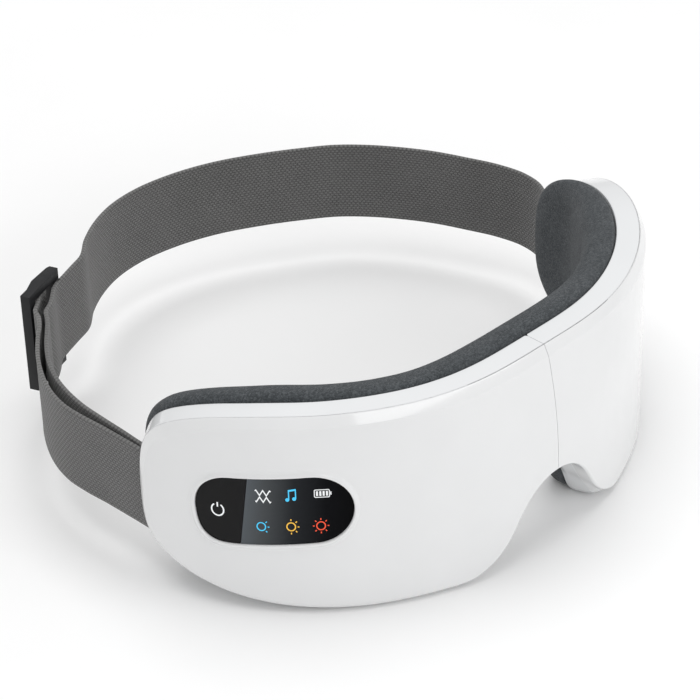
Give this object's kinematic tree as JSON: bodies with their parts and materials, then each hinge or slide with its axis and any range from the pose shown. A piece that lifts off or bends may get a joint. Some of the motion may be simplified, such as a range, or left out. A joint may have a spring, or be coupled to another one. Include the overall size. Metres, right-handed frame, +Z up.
{
  "type": "eye massager mask",
  "caption": "Foldable eye massager mask: two hinged glossy shell halves with fabric face pads, a side control panel and an elastic head strap with a slider.",
  "frame": {"origin": "bottom centre of the overall box, on the plane of the flat undersides of the two lobes", "axes": "+X towards the wearer's left, -Y the way the front face looks, +Z up; the half with the control panel is on the -X side"},
  "size_m": [0.2088, 0.2044, 0.0752],
  "materials": {
    "white_shell": "high gloss",
    "pearl_band": "satin gloss",
    "pad_fabric": "fine brushed knit",
    "strap_webbing": "ribbed elastic weave",
    "slider_plastic": "fine matte",
    "panel_gloss": "gloss",
    "panel_matte": "satin",
    "board": "solder mask",
    "steel": "satin",
    "black_plastic": "matte",
    "cell_foil": "foil",
    "bladder": "film",
    "heating_film": "film",
    "hose_silicone": "matte"
  },
  "bodies": {
    "right_half": {"front_shell_right": "white_shell", "panel_bezel": "white_shell", "rear_housing_right": "pearl_band", "face_pad_right": "pad_fabric", "strap_main": "strap_webbing", "strap_outer_run": "strap_webbing", "display_window": "panel_gloss", "display_board": "board", "main_board": "board", "housing_screw_right_1": "steel", "housing_screw_right_2": "steel", "housing_screw_right_3": "steel", "vibration_motor_right": "steel", "hinge_bracket_right": "steel", "hinge_pin": "steel", "strap_anchor_bar_right": "steel", "solenoid_valve": "steel", "usb_charge_port": "steel", "air_pump": "black_plastic", "speaker_right": "black_plastic", "tact_switch": "black_plastic", "battery_pack": "cell_foil", "air_bladder_right": "bladder", "heating_film_right": "heating_film", "air_hose": "hose_silicone"},
    "left_half": {"front_shell_left": "white_shell", "rear_housing_left": "pearl_band", "face_pad_left": "pad_fabric", "strap_stub_left": "strap_webbing", "housing_screw_left_1": "steel", "housing_screw_left_2": "steel", "housing_screw_left_3": "steel", "vibration_motor_left": "steel", "hinge_bracket_left": "steel", "strap_anchor_bar_left": "steel", "speaker_left": "black_plastic", "air_bladder_left": "bladder", "heating_film_left": "heating_film"},
    "power_button": {"power_button": "panel_matte"},
    "slider": {"slider_buckle": "slider_plastic", "strap_sewn_loop": "strap_webbing"},
    "vib_weight_right": {"vibration_weight_right": "steel"},
    "vib_weight_left": {"vibration_weight_left": "steel"}
  },
  "joints": [
    {"name": "fold_hinge", "type": "hinge", "parent": "right_half", "child": "left_half", "pos_m": [-0.00225, -0.08848, 0.0514], "axis": [0, 0, 1], "range_deg": [0, 90]},
    {"name": "power_press", "type": "slide", "parent": "right_half", "child": "power_button", "axis": [0.8957, 0.4447, 0], "range_m": [0, 0.0004], "stiffness_N_per_m": 400},
    {"name": "slider_adjust", "type": "slide", "parent": "right_half", "child": "slider", "axis": [0.9272, 0.3746, 0], "range_m": [0, 0.012]},
    {"name": "vib_spin_right", "type": "hinge", "parent": "right_half", "child": "vib_weight_right", "pos_m": [-0.02353, -0.09037, 0.0463], "axis": [0, 0, 1], "continuous": true},
    {"name": "vib_spin_left", "type": "hinge", "parent": "left_half", "child": "vib_weight_left", "pos_m": [0.01902, -0.09037, 0.0463], "axis": [0, 0, 1], "continuous": true}
  ]
}
